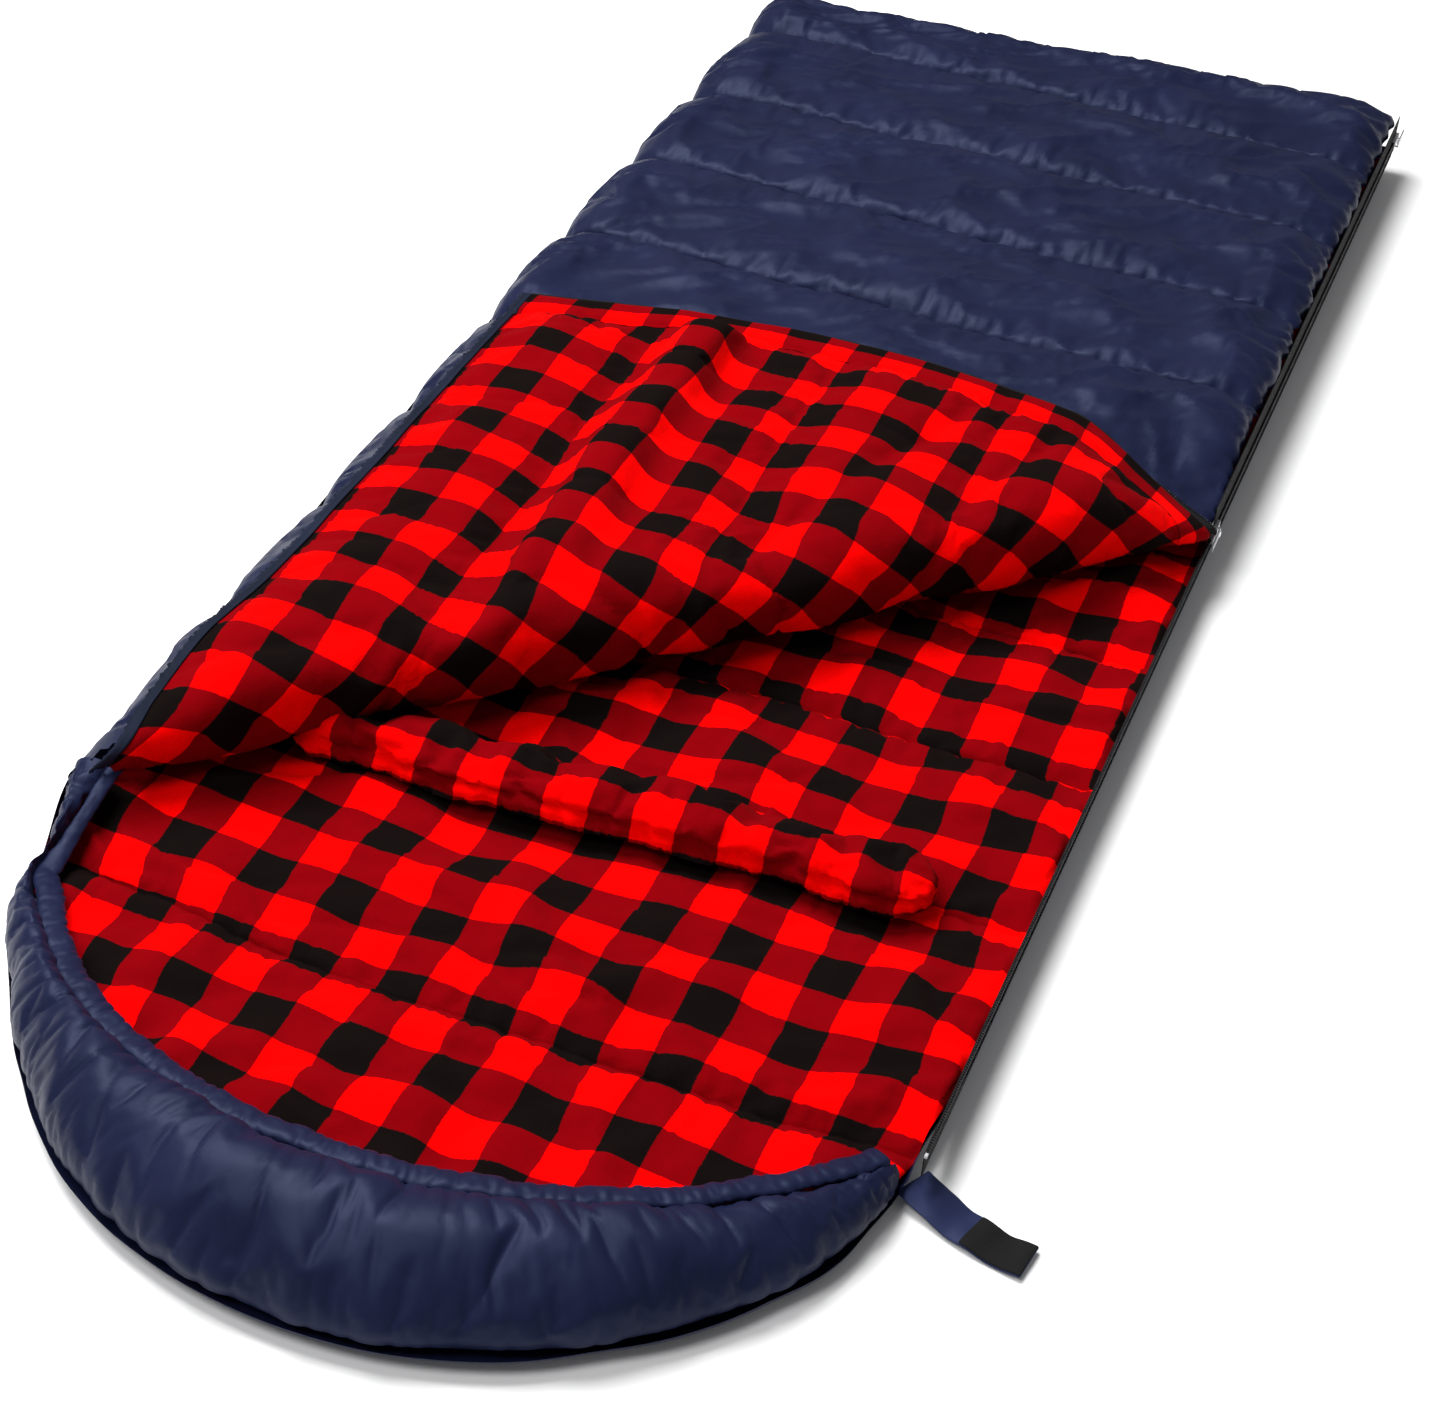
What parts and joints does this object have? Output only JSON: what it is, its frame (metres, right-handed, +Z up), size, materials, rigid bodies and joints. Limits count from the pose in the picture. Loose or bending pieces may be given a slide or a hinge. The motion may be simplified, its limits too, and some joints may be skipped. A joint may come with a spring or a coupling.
{
  "type": "rectangular sleeping bag",
  "caption": "Quilted rectangular sleeping bag with a half-round hood, check flannel lining, side zip and a folded-back top corner.",
  "frame": {"origin": "on the flat underside, at the middle of the bag's length with its hood, and of its quilts' width", "axes": "+Z up from the ground, +Y along the bag towards its foot, +X towards the zip side"},
  "size_m": [0.9509, 2.238, 0.1723],
  "materials": {
    "navy_taffeta": "soft satin polyester taffeta, quilted",
    "check_flannel": "brushed cotton flannel, red and black buffalo check",
    "fibre_fill": "loose white hollow-fibre batting",
    "zip_tape": "black woven polyester tape",
    "zip_coil": "black nylon coil",
    "zip_metal": "bright plated zinc",
    "stop_metal": "bright steel",
    "strap_webbing": "navy polyester strap, edges folded in and stitched",
    "hook_tape": "black nylon hook tape",
    "loop_tape": "black nylon loop tape",
    "cord": "black braided cord"
  },
  "bodies": {
    "bag": {"base_shell": "navy_taffeta", "base_fill": "fibre_fill", "base_lining": "check_flannel", "side_fold_shell": "navy_taffeta", "side_fold_fill": "fibre_fill", "side_fold_lining": "check_flannel", "foot_end_shell": "navy_taffeta", "foot_end_fill": "fibre_fill", "foot_end_lining": "check_flannel", "top_shell": "navy_taffeta", "top_fill": "fibre_fill", "top_lining": "check_flannel", "fold_shell": "navy_taffeta", "fold_fill": "fibre_fill", "fold_lining": "check_flannel", "neck_roll_cover": "check_flannel", "neck_roll_fill": "fibre_fill", "zip_tape_lower": "zip_tape", "zip_tape_upper": "zip_tape", "zip_coil_lower": "zip_coil", "zip_coil_upper": "zip_coil", "zip_head_stop": "stop_metal", "zip_foot_stop": "stop_metal", "strap_root": "strap_webbing"},
    "hood": {"hood_pad_shell": "navy_taffeta", "hood_pad_fill": "fibre_fill", "hood_pad_lining": "check_flannel", "rim_shell": "navy_taffeta", "rim_fill": "fibre_fill", "rim_lining": "check_flannel", "hood_casing": "navy_taffeta", "hood_drawcord": "cord"},
    "flap": {"flap_shell": "navy_taffeta", "flap_fill": "fibre_fill", "flap_lining": "check_flannel", "flap_zip_facing": "check_flannel", "flap_head_hem": "zip_tape", "zip_tape_flap": "zip_tape", "zip_coil_flap": "zip_coil", "zip_flap_stop": "stop_metal", "loop_patch": "loop_tape"},
    "main_slider": {"zip_slider_main": "zip_metal"},
    "main_pull": {"zip_pull_main": "zip_metal"},
    "foot_slider": {"zip_slider_foot": "zip_metal"},
    "foot_pull": {"zip_pull_foot": "zip_metal"},
    "neck_strap": {"strap": "strap_webbing", "hook_patch": "hook_tape"}
  },
  "joints": [
    {"name": "flap_fold", "type": "hinge", "parent": "bag", "child": "flap", "pos_m": [0, -0.282, 0.1135], "axis": [0.7071, 0.7071, 0], "range_deg": [0, 179], "deforming": ["fold_shell", "fold_fill", "fold_lining"]},
    {"name": "hood_lift", "type": "hinge", "parent": "bag", "child": "hood", "pos_m": [0, -0.805, 0.034], "axis": [-1, 0, 0], "range_deg": [0, 60]},
    {"name": "main_zip_slide", "type": "slide", "parent": "bag", "child": "main_slider", "axis": [0, 1, 0], "range_m": [-0.805, 0.485]},
    {"name": "main_pull_swing", "type": "hinge", "parent": "main_slider", "child": "main_pull", "pos_m": [0.4254, 0.135, 0.054], "axis": [0, 0, 1], "range_deg": [0, 170]},
    {"name": "foot_zip_slide", "type": "slide", "parent": "bag", "child": "foot_slider", "axis": [0, 1, 0], "range_m": [-0.393, 0]},
    {"name": "foot_pull_swing", "type": "hinge", "parent": "foot_slider", "child": "foot_pull", "pos_m": [0.4254, 1.093, 0.054], "axis": [0, 0, -1], "range_deg": [0, 170]},
    {"name": "strap_lift", "type": "hinge", "parent": "bag", "child": "neck_strap", "pos_m": [0.42565, -0.795, 0.0016], "axis": [0, -1, 0], "range_deg": [0, 90]}
  ]
}
